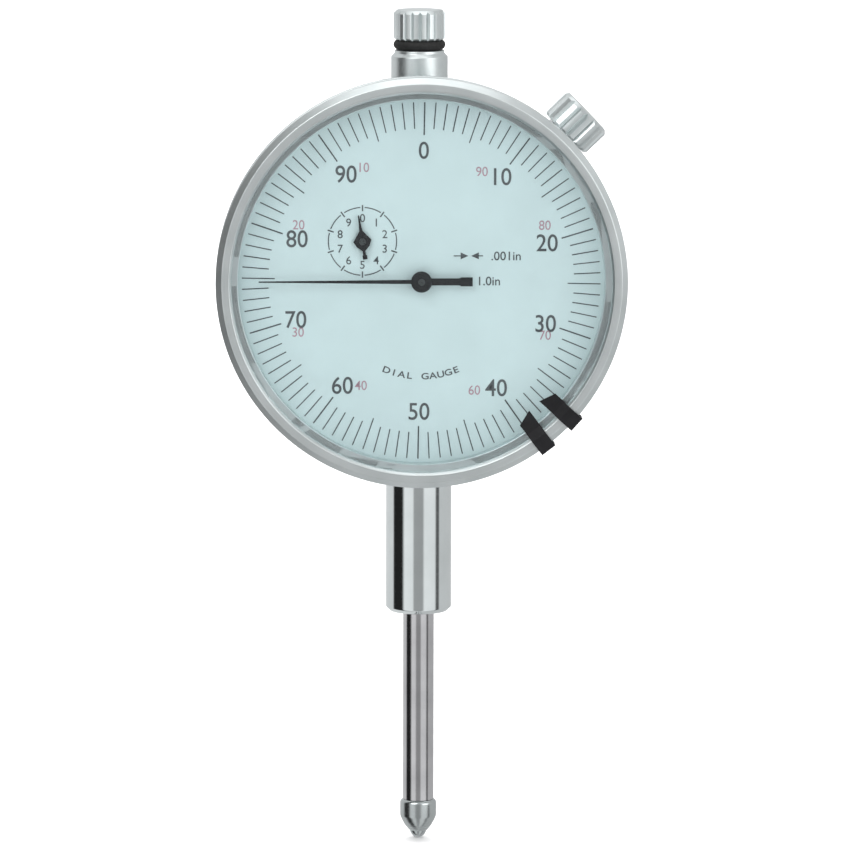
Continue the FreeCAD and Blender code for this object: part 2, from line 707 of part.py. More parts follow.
def gear_teeth(teeth, module, y_front, width, first_tooth, bore):
    face = gear_face(teeth, module, dims.tooth_play.value, first_tooth, bore)
    face.translate(Vector(0, y_front, 0))
    return face.extrude(Vector(0, width, 0))


def stepped_arbor(steps):
    """Round steps along Y: (y_front, y_back, radius), fused to one shaft."""
    pieces = [Part.makeCylinder(radius, back - front, Vector(0, front, 0), Vector(0, 1, 0))
              for front, back, radius in steps]
    return pieces[0].multiFuse(pieces[1:]).removeSplitter() if len(pieces) > 1 else pieces[0]


def shape_node(label, shape, seat):
    """A sub-part whose shape is built about the Y axis and then put at its arbor's centre."""
    x, z = CENTRES[seat]
    item = doc.addObject("Part::Feature", label)
    item.Shape = shape
    place(keep(item, label), x=x, z=dims.dial_height + z)


def meshing_phase(from_seat, to_seat, from_teeth, to_teeth, from_phase):
    """The first tooth's angle on a gear that meshes with one whose phase is known, in degrees."""
    x1, z1 = CENTRES[from_seat]
    x2, z2 = CENTRES[to_seat]
    heading = degrees(FreeCAD.Vector(1, 0, 0).getAngle(Vector(x2 - x1, 0, z2 - z1)))
    if z2 < z1:
        heading = -heading
    turns = (heading - from_phase) * from_teeth / 360
    return heading + 180 - (0.5 - turns) * 360 / to_teeth


SEAT_RADIUS = 0.9
HAND_END = -14.35
COUNTER_HAND_FRONT = -13.25
COUNTER_GEAR_FRONT = -9.2
COUNTER_GEAR_WIDTH = 0.6
RACK_TEETH_FRONT = -1.6
RACK_TEETH_WIDTH = 3.2
DRIVE_GEAR_FRONT = -7.6
DRIVE_GEAR_WIDTH = 1.0
TAKE_UP_GEAR_FRONT = -6.1
TAKE_UP_GEAR_WIDTH = 0.8
CENTRE_TEETH_FRONT = -9.0
CENTRE_TEETH_WIDTH = 4.1
TEETH_CORE = 0.3
GEAR_WINDOWS = 4


def make_train():
    small = int(dims.small_teeth.value)
    big = int(dims.big_teeth.value)
    counted = int(dims.counter_teeth.value)
    train = dims.train_module.value
    front = (dims.front_plate_back - dims.front_plate_thick).value
    mid_back = (dims.web_back + dims.mid_plate_thick).value
    centre_phase = meshing_phase("pinion", "centre", big, small, 0.0)
    take_up_phase = meshing_phase("centre", "take_up", small, big, centre_phase)
    counter_phase = meshing_phase("pinion", "counter", small, counted, 0.0)

    arbor = stepped_arbor([(front, BRIDGE_BACK, PIVOT_RADIUS), (-8.2, -5.4, SEAT_RADIUS)])
    for y_front, width in ((RACK_TEETH_FRONT, RACK_TEETH_WIDTH),
                           (COUNTER_GEAR_FRONT - 0.2, COUNTER_GEAR_WIDTH + 0.4)):
        arbor = arbor.fuse(gear_teeth(small, RACK_MODULE, y_front, width, 0.0, TEETH_CORE))
    shape_node("rack_pinion_arbor", arbor.removeSplitter(), "pinion")
    drive = wheel(big, train, DRIVE_GEAR_FRONT, DRIVE_GEAR_WIDTH, 0.0, GEAR_WINDOWS)
    shape_node("drive_gear", drive, "pinion")

    train_teeth = gear_teeth(small, train, CENTRE_TEETH_FRONT, CENTRE_TEETH_WIDTH, centre_phase,
                             TEETH_CORE)
    arbor = stepped_arbor([(HAND_END, mid_back - 0.05, PIVOT_RADIUS)])
    shape_node("centre_pinion_arbor", arbor.fuse(train_teeth).removeSplitter(), "centre")

    gear_back = COUNTER_GEAR_FRONT + COUNTER_GEAR_WIDTH
    arbor = stepped_arbor([(COUNTER_HAND_FRONT, gear_back + 0.2, PIVOT_RADIUS),
                           (COUNTER_GEAR_FRONT - 0.2, gear_back + 0.2, SEAT_RADIUS)])
    shape_node("counter_arbor", arbor, "counter")
    count_wheel = wheel(counted, RACK_MODULE, COUNTER_GEAR_FRONT, COUNTER_GEAR_WIDTH,
                        counter_phase, 0)
    shape_node("counter_gear", count_wheel, "counter")

    arbor = stepped_arbor([(front, mid_back, PIVOT_RADIUS), (-8.6, -4.9, SEAT_RADIUS)])
    shape_node("take_up_arbor", arbor, "take_up")
    take_up = wheel(big, train, TAKE_UP_GEAR_FRONT, TAKE_UP_GEAR_WIDTH, take_up_phase,
                    GEAR_WINDOWS)
    shape_node("take_up_gear", take_up, "take_up")


def wheel(teeth, module, y_front, width, phase, windows):
    """A gear on a seat, lightened by round windows when it is large."""
    shape = gear_teeth(teeth, module, y_front, width, phase, SEAT_RADIUS)
    pitch_radius = module * teeth / 2
    for index in range(windows):
        angle = radians(45 + 360 / windows * index)
        spot = Vector(pitch_radius * 0.55 * cos(angle), y_front - 1, pitch_radius * 0.55 * sin(angle))
        shape = shape.cut(Part.makeCylinder(1.5, width + 2, spot, Vector(0, 1, 0)))
    return shape


def make_hairspring():
    """A flat spiral ribbon about the take-up arbor, pinned at its outer end to a stud."""
    inner = 1.25
    coils = 5
    thick = 0.1
    y_front = -8.3
    width = 0.5
    stud_angle = radians(STUD_SPOT_ANGLE)
    samples = 16 * coils
    rail_in = []
    rail_out = []
    for k in range(samples + 1):
        angle = stud_angle - 2 * pi * coils * (1 - k / samples)
        radius = inner + (HAIRSPRING_OUTER - inner) * k / samples
        rail_in.append(Vector(radius * cos(angle), y_front, radius * sin(angle)))
        rail_out.append(Vector((radius + thick) * cos(angle), y_front, (radius + thick) * sin(angle)))
    inner_edge = Part.BSplineCurve()
    inner_edge.interpolate(rail_in)
    outer_edge = Part.BSplineCurve()
    outer_edge.interpolate(rail_out)
    edges = [inner_edge.toShape(), Part.makeLine(rail_in[-1], rail_out[-1]),
             outer_edge.toShape(), Part.makeLine(rail_out[0], rail_in[0])]
    face = Part.Face(Part.Wire(Part.__sortEdges__(edges)))
    shape_node("hairspring", face.extrude(Vector(0, width, 0)), "take_up")
    x, z = CENTRES["take_up"]
    reach = HAIRSPRING_OUTER + thick + 0.4
    stud = rod("hairspring_stud", dims.front_plate_back, -7.7, 0.4)
    place(stud, x=x + reach * cos(stud_angle), z=dims.dial_height + (z + reach * sin(stud_angle)))


def make_return_spring():
    """A close-wound extension spring from the fixed post up to the guide pin."""
    wire = 0.15
    coil = 1.25
    x = SPRING_POST_SPOT[0]
    low = dims.dial_height.value + SPRING_POST_SPOT[1]
    high = dims.guide_pin_height.value
    eye_gap = 0.07
    low_eye = 0.7 + eye_gap + wire
    high_eye = GUIDE_PIN_RADIUS + eye_gap + wire
    start = low + low_eye + 0.3
    end = high - high_eye - 0.3
    turns = 14
    helix = Part.makeHelix((end - start) / turns, end - start, coil)
    section = Part.Wire(Part.makeCircle(wire, Vector(coil, 0, 0), Vector(0, 1, 0)))
    body = Part.Wire(helix.Edges).makePipeShell([section], True, True)
    body.translate(Vector(x, 0, start))
    pieces = [body]
    for spot, radius, spin in ((low, low_eye, Vector(0, 1, 0)), (high, high_eye, Vector(1, 0, 0))):
        pieces.append(Part.makeTorus(radius, wire, Vector(x, 0, spot), spin))
    for spot, towards in ((start, -1), (end, 1)):
        pieces.append(Part.makeCylinder(wire, coil, Vector(x, 0, spot), Vector(1, 0, 0)))
        pieces.append(Part.makeCylinder(wire, 0.5, Vector(x, 0, spot), Vector(0, 0, towards)))
    joined = pieces[0].multiFuse(pieces[1:])
    item = doc.addObject("Part::Feature", "return_spring")
    item.Shape = joined
    item.Placement = Placement()
    keep(item, "return_spring")


# ---- dials and hands --------------------------------------------------------------------------

def make_dials():
    holes = [(0, 0, SEAT_RADIUS), (COUNTER_X, COUNTER_Z, 0.8)]
    plate("centre_dial", dims.dial_front + dims.dial_thick, dims.dial_thick,
          dims.centre_dial_rad, holes)
    dial_back = dims.dial_front + dims.dial_thick
    outer = ring("dial_ring", dims.dial_front, dial_back,
                 dims.centre_dial_rad + dims.dial_gap, dims.bezel_bore)
    place(outer, z=dims.dial_height)
    keeper = ring("dial_retaining_ring", dial_back, dial_back + 0.8, dims.shelf_rad,
                  dims.bezel_bore)
    place(keeper, z=dims.dial_height)


def hand(label, y_front, thick, outline, boss, hole, seat, angle):
    """A flat hand that points up its own Z, turned clockwise by angle."""
    body = new_body(label)
    for draw in (lambda s: polygon(s, outline), lambda s: circle(s, 0, 0, boss)):
        sketch = sketch_on(body, "XZ", -(y_front + thick))
        draw(sketch)
        pad(body, sketch, thick)
    bore = sketch_on(body, "XZ", -(y_front + thick))
    circle(bore, 0, 0, hole)
    doc.recompute()
    pocket(body, bore, thick, flipped=True)
    x, z = CENTRES[seat]
    place(body, x=x, z=dims.dial_height + z, about_y=angle)


MAIN_HAND_ANGLE = -90.0
COUNTER_HAND_ANGLE = -9.0


def make_hands():
    hand("main_hand", Size(-13.8), Size(0.2), [
        (-0.08, 23.2), (-0.3, 1.0), (-0.5, -1.0), (-0.5, -5.5), (-0.64, -5.6), (-0.64, -7.3),
        (0.64, -7.3), (0.64, -5.6), (0.5, -5.5), (0.5, -1.0), (0.3, 1.0), (0.08, 23.2)],
        1.5, SEAT_RADIUS, "centre", MAIN_HAND_ANGLE)
    hub = turned("hand_hub", [
        (HAND_END + 0.05, PIVOT_RADIUS), (HAND_END + 0.05, 1.25), (-14.1, 1.5), (-13.8, 1.5),
        (-13.8, SEAT_RADIUS), (-13.6, SEAT_RADIUS), (-13.6, 1.2), (-13.1, 1.2),
        (-13.1, PIVOT_RADIUS)], "Y")
    place(hub, z=dims.dial_height)
    hand("counter_hand", Size(COUNTER_HAND_FRONT + 0.05), Size(0.3), [
        (-0.08, 3.8), (-0.22, 1.55), (-1.3, 0.1), (-0.9, -0.7), (-0.2, -1.35), (-0.2, -1.95),
        (-0.33, -2.0), (-0.33, -2.55), (0.33, -2.55), (0.33, -2.0), (0.2, -1.95),
        (0.2, -1.35), (0.9, -0.7), (1.3, 0.1), (0.22, 1.55), (0.08, 3.8)],
        1.0, PIVOT_RADIUS, "counter", COUNTER_HAND_ANGLE)


# ---- bezel, crystal and tolerance markers -----------------------------------------------------

MARKER_GROOVE_FRONT = -14.75
MARKER_GROOVE_BACK = -13.75
MARKER_GROOVE_FLOOR = 28.75
FLANGE_BACK = -12.0
KNURL_FRONT = -11.6
KNURL_BACK = -8.9
KNURL_FLOOR = 27.72
SHOE_GROOVE_FRONT = -8.4


def make_bezel():
    outer = dims.bezel_dia / 2
    crystal_back = dims.crystal_front + dims.crystal_thick
    body = turned("bezel", [
        (dims.bezel_front + 0.35, dims.lip_inner), (dims.bezel_front, dims.lip_inner + 0.35),
        (dims.bezel_front, dims.lip_outer), (dims.bezel_front + 0.85, outer),
        (MARKER_GROOVE_FRONT, outer), (MARKER_GROOVE_FRONT, MARKER_GROOVE_FLOOR),
        (MARKER_GROOVE_BACK, MARKER_GROOVE_FLOOR), (MARKER_GROOVE_BACK, outer),
        (FLANGE_BACK - 0.4, outer), (FLANGE_BACK, outer - 0.4), (FLANGE_BACK, dims.skirt_rad),
        (KNURL_FRONT, dims.skirt_rad), (KNURL_FRONT, KNURL_FLOOR),
        (KNURL_BACK, KNURL_FLOOR), (KNURL_BACK, dims.skirt_rad),
        (SHOE_GROOVE_FRONT, dims.skirt_rad), (SHOE_GROOVE_FRONT, dims.shoe_groove_rad),
        (dims.bezel_rear, dims.shoe_groove_rad), (dims.bezel_rear, dims.bezel_bore),
        (WIRE_BACK + 0.05, dims.bezel_bore), (WIRE_BACK + 0.05, dims.bezel_bore + 0.35),
        (WIRE_FRONT - 0.05, dims.bezel_bore + 0.35), (WIRE_FRONT - 0.05, dims.bezel_bore),
        (dims.dial_front, dims.bezel_bore), (dims.dial_front, dims.shelf_rad),
        (crystal_back, dims.shelf_rad), (crystal_back, dims.crystal_rad),
        (dims.crystal_front, dims.crystal_rad), (dims.crystal_front, dims.lip_inner)], "Y")
    place(body, z=dims.dial_height)
    glass = turned("crystal", [
        (dims.crystal_front, 0), (dims.crystal_front, dims.crystal_rad),
        (crystal_back, dims.crystal_rad), (crystal_back, 0)], "Y")
    place(glass, z=dims.dial_height)


def make_bezel_wire():
    """The split wire in the neck's groove that lets the bezel turn but not come off."""
    middle = (WIRE_FRONT + WIRE_BACK) / 2
    body = new_body("bezel_wire")
    outline = sketch_on(body, "YZ")
    half = 0.33
    low = WIRE_GROOVE
    high = dims.bezel_bore + 0.28
    polygon(outline, [(middle - half, low), (middle - half, high), (middle + half, high),
                      (middle + half, low)])
    feature = body.newObject("PartDesign::Revolution", "wire_turned")
    feature.Profile = outline
    feature.ReferenceAxis = (outline, ["H_Axis"])
    feature.Angle = 340
    place(body, z=dims.dial_height, about_y=100)


def make_marker(label, angle, long_side):
    """A sprung clip: a leaf over the crystal's edge, a side wall and a hook in the groove."""
    leaf = dims.marker_sheet
    face = dims.bezel_front - 0.05
    outer = dims.marker_outer
    inner = outer - leaf - 0.06
    tip = dims.marker_tip
    over_glass = dims.crystal_front - 0.25
    body = new_body(label)
    outline = sketch_on(body, "YZ")
    polygon(outline, [
        (over_glass - leaf, tip), (over_glass - leaf, tip + 2.6), (face - leaf, tip + 3.8),
        (face - leaf, outer - 0.2), (face - leaf + 0.2, outer), (MARKER_GROOVE_BACK - 0.15, outer),
        (MARKER_GROOVE_BACK - 0.15, MARKER_GROOVE_FLOOR + 0.1),
        (MARKER_GROOVE_FRONT + 0.15, MARKER_GROOVE_FLOOR + 0.1),
        (MARKER_GROOVE_FRONT + 0.15, inner), (face, inner), (face, tip + 3.45),
        (over_glass, tip + 2.3), (over_glass, tip)])
    pad(body, outline, dims.marker_width, both_ways=True)
    doc.recompute()
    whole = body.Shape.Volume
    half = dims.marker_width / 2 + 0.1
    slant = sketch_on(body, "XZ")
    polygon(slant, [(half * long_side, tip - 0.2), (-half * long_side, tip - 0.2),
                    (-half * long_side, tip + 0.95), (half * long_side, tip - 0.05)])
    pocket(body, slant, 60, both_ways=True)
    doc.recompute()
    if body.Shape.Volume >= whole:
        raise RuntimeError(f"the slanted end of {label} cut nothing")
    place(body, z=dims.dial_height, about_y=angle)


# ---- bezel clamp ------------------------------------------------------------------------------

SHOE_WIDTH = 5.0
SHOE_LOW = 28.25
SHOE_HIGH = 28.9


def make_clamp():
    body = new_body("clamp_screw")
    knob = dims.knob_dia / 2
    turn(body, [
        (0, 25.6), (CLAMP_SHANK_RADIUS, 25.6), (CLAMP_SHANK_RADIUS, dims.knob_low),
        (knob - 0.4, dims.knob_low), (knob, dims.knob_low + 0.4), (knob, dims.knob_high - 0.5),
        (knob - 0.5, dims.knob_high), (0, dims.knob_high)])
    flute(body, knob, dims.knob_low - 1, dims.knob_high - dims.knob_low + 2, 18, 0.42)
    place(body, y=dims.clamp_back, z=dims.dial_height, about_y=CLAMP_ANGLE)
    shoe = new_body("clamp_shoe")
    outline = sketch_on(shoe, "YZ")
    finger = dims.shoe_groove_rad + 0.1
    front = SHOE_GROOVE_FRONT + 0.12
    polygon(outline, [
        (1.8, SHOE_LOW), (1.8, SHOE_HIGH), (front, SHOE_HIGH), (front, finger),
        (front + 1.4, finger), (front + 1.4, SHOE_LOW)])
    pad(shoe, outline, SHOE_WIDTH, both_ways=True)
    hole = sketch_on(shoe, "XY", SHOE_LOW - 0.5)
    circle(hole, 0, dims.clamp_back, CLAMP_SHANK_RADIUS + 0.1)
    doc.recompute()
    pocket(shoe, hole, 2, flipped=True)
    place(shoe, z=dims.dial_height, about_y=CLAMP_ANGLE)


# ---- back cover and mounting lug --------------------------------------------------------------

LUG_FOOT_HALF = 9.6
LUG_FOOT_THICK = 1.2
LUG_SCREW_SPOTS = [(0, 7.4), (0, -7.4)]


def make_back():
    gasket_back = dims.case_rear + dims.gasket_thick
    gasket = ring("cover_gasket", dims.case_rear, gasket_back, dims.case_inner + 0.3,
                  dims.cover_rad)
    place(gasket, z=dims.dial_height)
    cover_back = gasket_back + dims.cover_thick
    spots = [(COVER_SCREW_CIRCLE * sin(radians(a)), COVER_SCREW_CIRCLE * cos(radians(a)))
             for a in COVER_SCREW_ANGLES]
    holes = [(x, z, SCREW_RADIUS) for x, z in spots + LUG_SCREW_SPOTS]
    cover = plate("back_cover", cover_back, dims.cover_thick, dims.cover_rad, holes)
    doc.recompute()
    whole = cover.Shape.Volume
    recess = sketch_on(cover, "XZ", -cover_back)
    for x, z in spots:
        circle(recess, x, z, COVER_HEAD + 0.1)
    pocket(cover, recess, 2 * RECESS_DEPTH, both_ways=True)
    doc.recompute()
    if cover.Shape.Volume > whole - 10:
        raise RuntimeError("the screw recesses of back_cover cut nothing")
    make_lug(cover_back)


def make_lug(cover_back):
    body = new_body("mounting_lug")
    foot = sketch_on(body, "XZ", -(cover_back + LUG_FOOT_THICK))
    polygon(foot, [(-5.5, -LUG_FOOT_HALF), (5.5, -LUG_FOOT_HALF), (5.5, LUG_FOOT_HALF),
                   (-5.5, LUG_FOOT_HALF)])
    for x, z in LUG_SCREW_SPOTS:
        circle(foot, x, z, SCREW_RADIUS)
    pad(body, foot, LUG_FOOT_THICK)
    web = sketch_on(body, "YZ")
    top = cover_back + LUG_FOOT_THICK
    polygon(web, [(top - 0.5, -dims.lug_round), (dims.lug_hole_back, -dims.lug_round),
                  (dims.lug_hole_back, dims.lug_round), (top - 0.5, dims.lug_round)])
    pad(body, web, dims.lug_thick, both_ways=True)
    rounding = sketch_on(body, "YZ")
    circle(rounding, dims.lug_hole_back, 0, dims.lug_round)
    pad(body, rounding, dims.lug_thick, both_ways=True)
    hole = sketch_on(body, "YZ")
    circle(hole, dims.lug_hole_back, 0, dims.lug_hole_dia / 2)
    doc.recompute()
    pocket(body, hole, dims.lug_thick + 2, both_ways=True)
    place(body, z=dims.dial_height)


# ---- build, check and write -------------------------------------------------------------------

def check_and_write():
    doc.recompute()
    faults = []
    for item in doc.Objects:
        if {"Invalid", "Error"} & set(item.State):
            faults.append(f"{item.Name}: {item.State}")
    for item in subparts:
        if item.Shape.isNull() or not item.Shape.isValid():
            faults.append(f"{item.Label}: bad shape")
    if faults:
        raise RuntimeError("; ".join(faults))
    os.makedirs("parts", exist_ok=True)
    for item in subparts:
        item.Shape.exportStep(f"parts/{item.Label}.step")
        solids = len(item.Shape.Solids)
        print(f"{item.Label}: {solids} solid(s), {item.Shape.Volume:.2f} mm3")


make_case()
make_stem()
make_top_tube()
make_spindle()
make_contact_point()
make_cap()
make_guide_pin()
make_plates()
make_bridge()
make_pillars()
make_screws()
make_bushes()
make_guide_rail()
make_train()
make_hairspring()
make_return_spring()
make_dials()
make_hands()
make_bezel()
make_bezel_wire()
make_marker("tolerance_marker_a", 132.3, 1)
make_marker("tolerance_marker_b", 142.7, -1)
make_clamp()
make_back()
check_and_write()
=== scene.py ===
import math

import bmesh
import bpy
from mathutils import Matrix, Vector


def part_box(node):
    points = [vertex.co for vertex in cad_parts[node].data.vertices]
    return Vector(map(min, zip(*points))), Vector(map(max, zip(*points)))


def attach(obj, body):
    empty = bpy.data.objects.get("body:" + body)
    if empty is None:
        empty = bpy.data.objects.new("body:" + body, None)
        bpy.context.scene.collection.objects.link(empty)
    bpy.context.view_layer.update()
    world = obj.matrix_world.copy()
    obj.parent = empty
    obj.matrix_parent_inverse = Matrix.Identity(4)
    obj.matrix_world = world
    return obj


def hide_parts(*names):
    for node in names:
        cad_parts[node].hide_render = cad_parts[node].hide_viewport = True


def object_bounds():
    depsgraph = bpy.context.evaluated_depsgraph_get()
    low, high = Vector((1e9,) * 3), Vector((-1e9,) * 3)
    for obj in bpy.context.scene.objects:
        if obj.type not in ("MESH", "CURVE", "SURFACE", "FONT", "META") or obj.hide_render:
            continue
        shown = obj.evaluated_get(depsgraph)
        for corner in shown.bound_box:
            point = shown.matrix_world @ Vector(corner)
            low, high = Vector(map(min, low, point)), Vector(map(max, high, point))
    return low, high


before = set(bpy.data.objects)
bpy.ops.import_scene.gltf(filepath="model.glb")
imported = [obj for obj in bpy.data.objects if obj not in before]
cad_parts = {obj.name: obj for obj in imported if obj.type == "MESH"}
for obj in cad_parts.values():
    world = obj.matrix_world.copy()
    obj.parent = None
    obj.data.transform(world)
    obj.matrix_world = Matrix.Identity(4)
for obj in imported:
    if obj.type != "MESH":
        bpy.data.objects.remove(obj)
size_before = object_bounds()
MM = 0.001
X, Y, Z = 0, 1, 2


# ---- where the CAD parts are ----
def middle(node):
    low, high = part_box(node)
    return (Vector(low) + Vector(high)) / 2


def radius_of(node, axis):
    low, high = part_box(node)
    return (high[axis] - low[axis]) / 2


dial_centre = middle("dial_ring")
dial_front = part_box("dial_ring")[0][Y]
counter_centre = middle("counter_arbor")
bezel_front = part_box("bezel")[0][Y] / MM
dial_axis = Vector((dial_centre.x, 0, dial_centre.z))
stem_axis = Vector((0, 0, 0))


def on_dial(centre, radius, degrees):
    """A point on the dial face, clockwise from the top as the reader sees it."""
    turn = math.radians(degrees)
    return centre.x + radius * math.sin(turn), centre.z + radius * math.cos(turn)


# ---- materials ----
# Most of a noise lies between these two values, so they are the ends of every change it drives.
NOISE_LOW = 0.3
NOISE_HIGH = 0.7
SLOW_NOISE = 190
FINE_NOISE = 2600


def new_material(name):
    material = bpy.data.materials.new(name)
    material.use_nodes = True
    nodes = material.node_tree.nodes
    links = material.node_tree.links
    return material, nodes, links, nodes["Principled BSDF"]


def object_place(nodes, links):
    """Object coordinates, so that a noise stays on the piece as it moves."""
    where = nodes.new("ShaderNodeTexCoord")
    mapping = nodes.new("ShaderNodeMapping")
    links.new(where.outputs["Object"], mapping.inputs["Vector"])
    return mapping.outputs["Vector"]


def turned_place(nodes, links, centre, around, fine):
    """Coordinates for a face turned on a lathe: they change only away from the axis and along it."""
    where = nodes.new("ShaderNodeTexCoord")
    shift = nodes.new("ShaderNodeVectorMath")
    shift.operation = "SUBTRACT"
    shift.inputs[1].default_value = centre
    flat = nodes.new("ShaderNodeVectorMath")
    flat.operation = "MULTIPLY"
    flat.inputs[1].default_value = [0 if axis == around else 1 for axis in range(3)]
    away = nodes.new("ShaderNodeVectorMath")
    away.operation = "LENGTH"
    split = nodes.new("ShaderNodeSeparateXYZ")
    join = nodes.new("ShaderNodeCombineXYZ")
    scale = nodes.new("ShaderNodeVectorMath")
    scale.operation = "SCALE"
    scale.inputs["Scale"].default_value = fine
    links.new(where.outputs["Object"], shift.inputs[0])
    links.new(shift.outputs[0], flat.inputs[0])
    links.new(flat.outputs[0], away.inputs[0])
    links.new(shift.outputs[0], split.inputs[0])
    links.new(away.outputs["Value"], join.inputs[0])
    links.new(split.outputs[around], join.inputs[1])
    links.new(join.outputs[0], scale.inputs[0])
    return scale.outputs[0]


def noise(nodes, links, place, scale, detail=4.0):
    texture = nodes.new("ShaderNodeTexNoise")
    texture.inputs["Scale"].default_value = scale
    texture.inputs["Detail"].default_value = detail
    links.new(place, texture.inputs["Vector"])
    return texture.outputs["Fac"]


def vary_colour(nodes, links, shader, fac, dark, light):
    ramp = nodes.new("ShaderNodeValToRGB")
    ramp.color_ramp.elements[0].position = NOISE_LOW
    ramp.color_ramp.elements[1].position = NOISE_HIGH
    ramp.color_ramp.elements[0].color = (*dark, 1)
    ramp.color_ramp.elements[1].color = (*light, 1)
    links.new(fac, ramp.inputs["Fac"])
    links.new(ramp.outputs["Color"], shader.inputs["Base Color"])


def vary_roughness(nodes, links, shader, fac, low, high):
    span = nodes.new("ShaderNodeMapRange")
    span.inputs["From Min"].default_value = NOISE_LOW
    span.inputs["From Max"].default_value = NOISE_HIGH
    span.inputs["To Min"].default_value = low
    span.inputs["To Max"].default_value = high
    links.new(fac, span.inputs["Value"])
    links.new(span.outputs["Result"], shader.inputs["Roughness"])


def bump(nodes, links, shader, fac, strength, distance):
    relief = nodes.new("ShaderNodeBump")
    relief.inputs["Strength"].default_value = strength
    relief.inputs["Distance"].default_value = distance
    links.new(fac, relief.inputs["Height"])
    links.new(relief.outputs["Normal"], shader.inputs["Normal"])


def metal(name, dark, light, rough, place=None, relief=(0.15, 0.00001), metallic=1.0):
    """A metal or a paint: a slow change of colour, and a finer one of roughness and height.

    place is the centre, axis and fineness of lathe marks, and None is for a grain with no direction.
    """
    material, nodes, links, shader = new_material(name)
    slow = noise(nodes, links, object_place(nodes, links), SLOW_NOISE)
    if place:
        fine = noise(nodes, links, turned_place(nodes, links, *place), 1.0, 3.0)
    else:
        fine = noise(nodes, links, object_place(nodes, links), FINE_NOISE, 3.0)
    shader.inputs["Metallic"].default_value = metallic
    vary_colour(nodes, links, shader, slow, dark, light)
    vary_roughness(nodes, links, shader, fine, *rough)
    bump(nodes, links, shader, fine, *relief)
    return material


def faced(fine):
    """Lathe marks about the dial's axis."""
    return tuple(dial_centre), Y, fine


def round_stem(fine):
    """Lathe marks about the stem's axis."""
    return tuple(middle("spindle")), Z, fine


case_metal = metal("case_metal", (0.54, 0.57, 0.57), (0.60, 0.63, 0.63), (0.30, 0.40))
bezel_satin = metal("bezel_satin", (0.66, 0.71, 0.71), (0.75, 0.80, 0.80), (0.34, 0.44),
                    faced(9000), (0.10, 0.000006))
cover_metal = metal("cover_metal", (0.55, 0.58, 0.58), (0.60, 0.63, 0.63), (0.26, 0.36),
                    faced(7000), (0.20, 0.00001))
chrome = metal("chrome", (0.70, 0.75, 0.75), (0.78, 0.83, 0.83), (0.07, 0.13),
               round_stem(6000), (0.04, 0.000003))
ground_steel = metal("ground_steel", (0.52, 0.52, 0.53), (0.64, 0.64, 0.65), (0.12, 0.20),
                     round_stem(12000), (0.10, 0.000004))
point_steel = metal("point_steel", (0.46, 0.50, 0.50), (0.56, 0.60, 0.60), (0.20, 0.28),
                    round_stem(8000), (0.10, 0.000005))
cap_metal = metal("cap_metal", (0.64, 0.69, 0.69), (0.74, 0.79, 0.79), (0.32, 0.42))
brass = metal("brass", (0.70, 0.54, 0.26), (0.80, 0.64, 0.34), (0.20, 0.32))
plate_brass = metal("plate_brass", (0.66, 0.52, 0.28), (0.76, 0.62, 0.36), (0.28, 0.40))
spring_steel = metal("spring_steel", (0.34, 0.37, 0.44), (0.44, 0.47, 0.54), (0.20, 0.30))
dark_steel = metal("dark_steel", (0.10, 0.11, 0.11), (0.16, 0.17, 0.17), (0.26, 0.36))
screw_steel = metal("screw_steel", (0.56, 0.56, 0.57), (0.68, 0.68, 0.69), (0.18, 0.30))
dial_enamel = metal("dial_enamel", (0.52, 0.615, 0.615), (0.55, 0.65, 0.65), (0.42, 0.52),
                    relief=(0.10, 0.00001), metallic=0.0)
black_enamel = metal("black_enamel", (0.006, 0.006, 0.007), (0.014, 0.014, 0.016), (0.45, 0.60),
                     relief=(0.20, 0.00001), metallic=0.0)
black_enamel.node_tree.nodes["Principled BSDF"].inputs["Specular IOR Level"].default_value = 0.2
black_print = metal("black_print", (0.05, 0.055, 0.06), (0.09, 0.095, 0.10), (0.50, 0.62),
                    relief=(0.20, 0.00001), metallic=0.0)
red_print = metal("red_print", (0.34, 0.20, 0.24), (0.42, 0.26, 0.30), (0.50, 0.62),
                  relief=(0.20, 0.00001), metallic=0.0)
black_rubber = metal("black_rubber", (0.004, 0.004, 0.004), (0.010, 0.010, 0.010), (0.60, 0.80),
                     relief=(0.50, 0.00002), metallic=0.0)
gasket_fibre = metal("gasket_fibre", (0.06, 0.06, 0.065), (0.13, 0.13, 0.14), (0.70, 0.85),
                     relief=(0.60, 0.00003), metallic=0.0)


EDGE_POWER = 4.5
GLOSS_FACING = 0.03
GLOSS_AT_EDGE = 0.85
CLEAR_NOISE = 160


